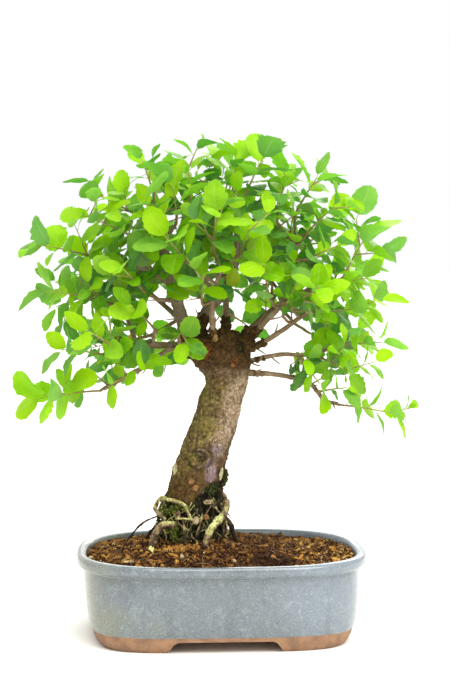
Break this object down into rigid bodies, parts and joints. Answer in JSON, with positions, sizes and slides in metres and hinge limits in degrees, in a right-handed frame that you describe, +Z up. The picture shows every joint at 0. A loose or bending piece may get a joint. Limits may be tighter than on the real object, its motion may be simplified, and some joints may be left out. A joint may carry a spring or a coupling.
{
  "type": "potted evergreen oak bonsai",
  "caption": "Small leaning evergreen oak with a thick rooted trunk and a wide leafy crown, growing in soil in a glazed rectangular pot on feet.",
  "frame": {"origin": "middle of the whole plant's outline in plan, on the surface that the pot's feet stand on", "axes": "+Z up; +X to the right seen from the front, along the pot's long side; +Y to the back"},
  "size_m": [0.3688, 0.2816, 0.4847],
  "materials": {
    "glaze": "gloss",
    "screen": "matte",
    "soil": "matte",
    "bark": "matte",
    "leaf": "satin"
  },
  "bodies": {
    "root": {"pot": "glaze", "screen_left": "screen", "screen_right": "screen", "soil": "soil", "wood": "bark", "shoot_droop_left_tip": "leaf", "shoot_droop_left_mid": "leaf", "shoot_left_low_tip": "leaf", "shoot_left_low_front": "leaf", "shoot_left_side": "leaf", "shoot_left_side_back": "leaf", "shoot_left_upper": "leaf", "shoot_left_shoulder_low": "leaf", "shoot_left_shoulder_high": "leaf", "shoot_left_crown_front": "leaf", "shoot_left_crown_sprig": "leaf", "shoot_crown_left": "leaf", "shoot_crown_mid_left": "leaf", "shoot_crown_mid": "leaf", "shoot_crown_front": "leaf", "shoot_crown_mid_right": "leaf", "shoot_crown_right": "leaf", "shoot_crown_far_right": "leaf", "shoot_right_crown_sprig": "leaf", "shoot_right_shoulder": "leaf", "shoot_right_tall": "leaf", "shoot_right_upper": "leaf", "shoot_right_side": "leaf", "shoot_right_middle": "leaf", "shoot_right_low": "leaf", "shoot_right_low_front": "leaf", "shoot_droop_right_tip": "leaf", "shoot_droop_right_mid": "leaf", "shoot_right_hanging": "leaf", "shoot_centre_right": "leaf", "shoot_centre_right_high": "leaf", "shoot_front_of_head": "leaf", "shoot_front_left_low": "leaf", "shoot_centre_front": "leaf", "shoot_front_left": "leaf", "shoot_front_left_high": "leaf", "shoot_front_right_high": "leaf", "shoot_front_right": "leaf", "shoot_back_left_low": "leaf", "shoot_back_left": "leaf", "shoot_back_left_high": "leaf", "shoot_back_crown_left": "leaf", "shoot_back_crown": "leaf", "shoot_back_crown_right": "leaf", "shoot_back_right_high": "leaf", "shoot_back_right": "leaf", "shoot_back_right_low": "leaf", "shoot_back_low": "leaf", "shoot_back_middle": "leaf", "shoot_back_middle_right": "leaf", "shoot_back_low_left": "leaf", "shoot_back_high": "leaf", "shoot_inner_right": "leaf", "shoot_inner_middle": "leaf", "shoot_inner_left": "leaf"}
  },
  "joints": []
}
